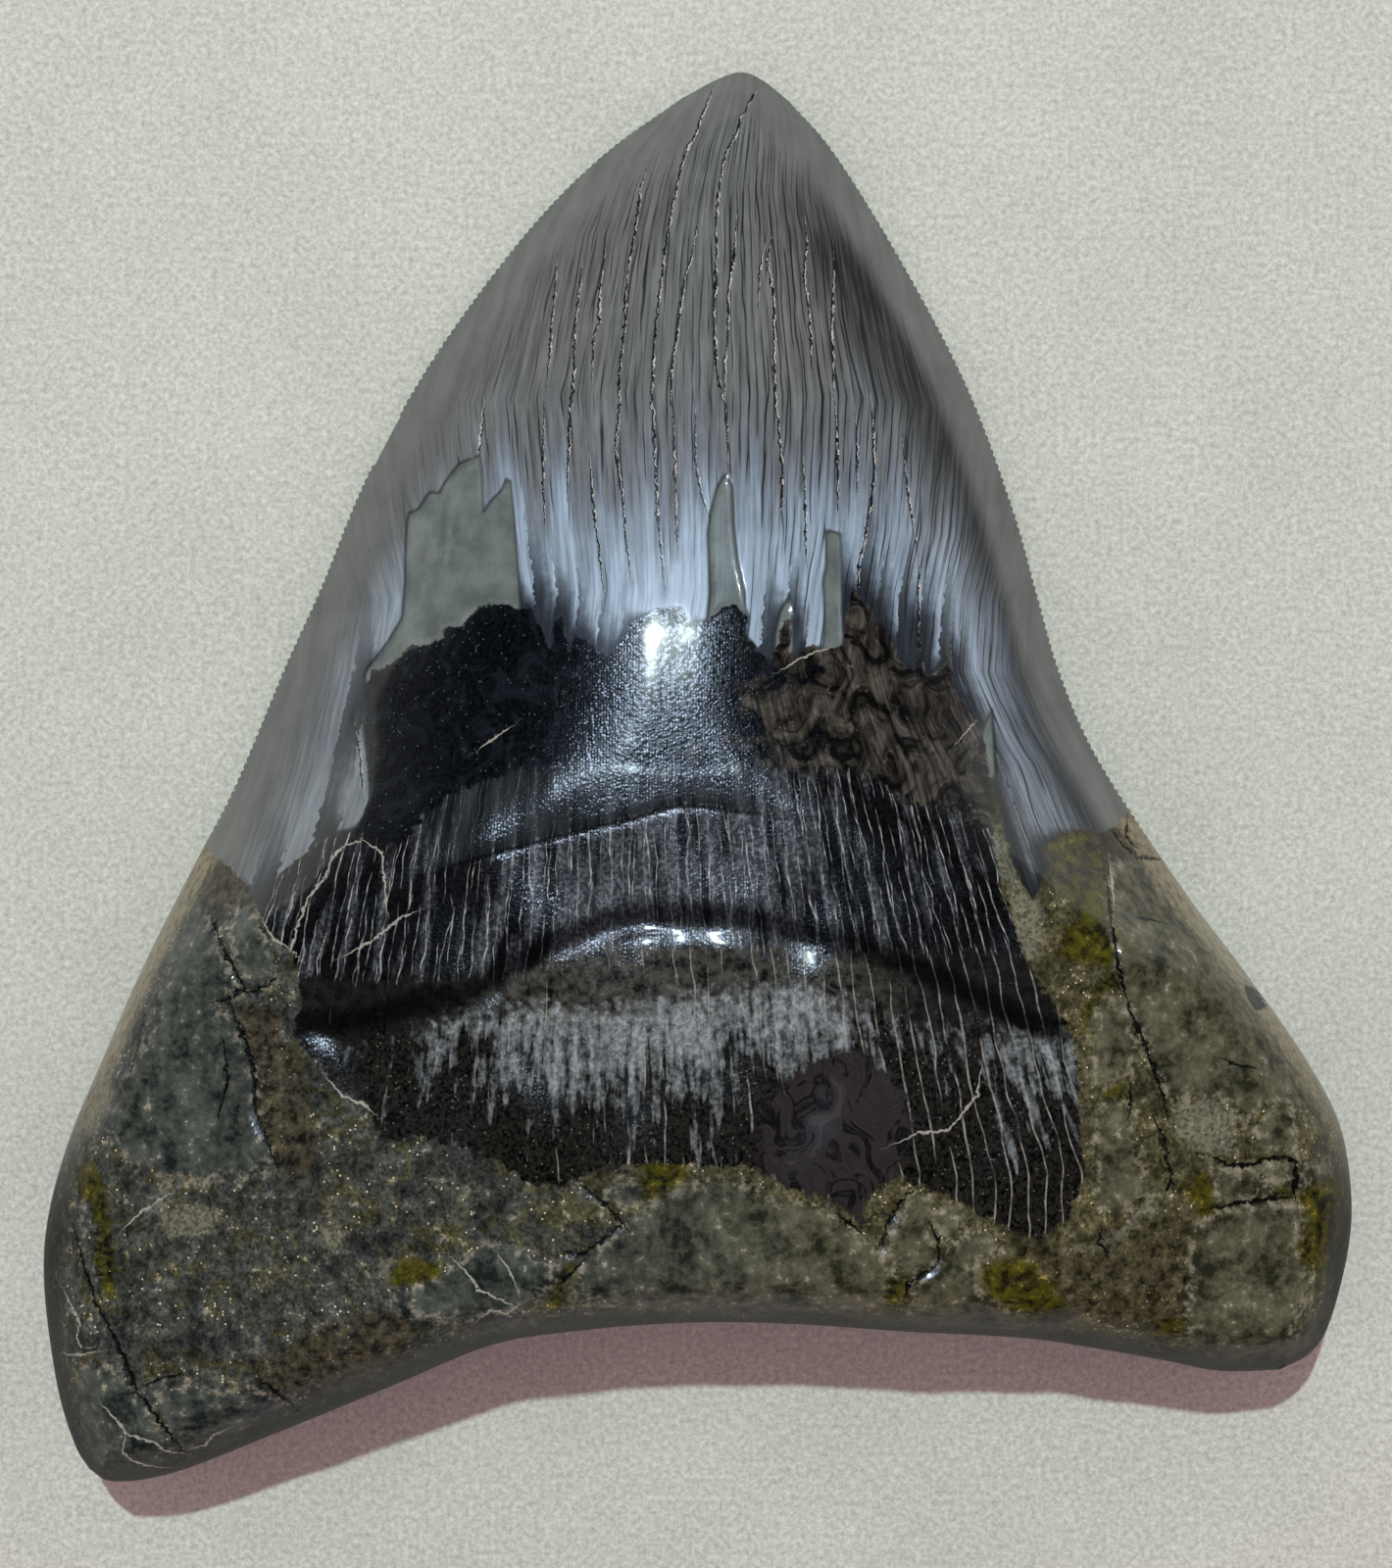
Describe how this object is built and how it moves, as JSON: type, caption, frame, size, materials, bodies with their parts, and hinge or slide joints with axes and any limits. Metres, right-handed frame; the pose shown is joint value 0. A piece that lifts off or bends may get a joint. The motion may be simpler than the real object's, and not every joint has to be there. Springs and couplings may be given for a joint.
{
  "type": "fossil megalodon shark tooth",
  "caption": "Polished fossil tooth of a giant shark: serrated triangular crown, dark neck band and a two-lobed mineralised root, lying on its flat outer face.",
  "frame": {"origin": "on the surface that the tooth lies on, under the middle of its outline", "axes": "+X across the tooth, +Y from the root to the tip, +Z out of the bulging inner face"},
  "size_m": [0.1221, 0.1331, 0.0272],
  "materials": {
    "fossil_stone": "polished dark fossil enamel, dentine and mineralised root"
  },
  "bodies": {
    "root": {"megalodon_tooth": "fossil_stone"}
  },
  "joints": []
}
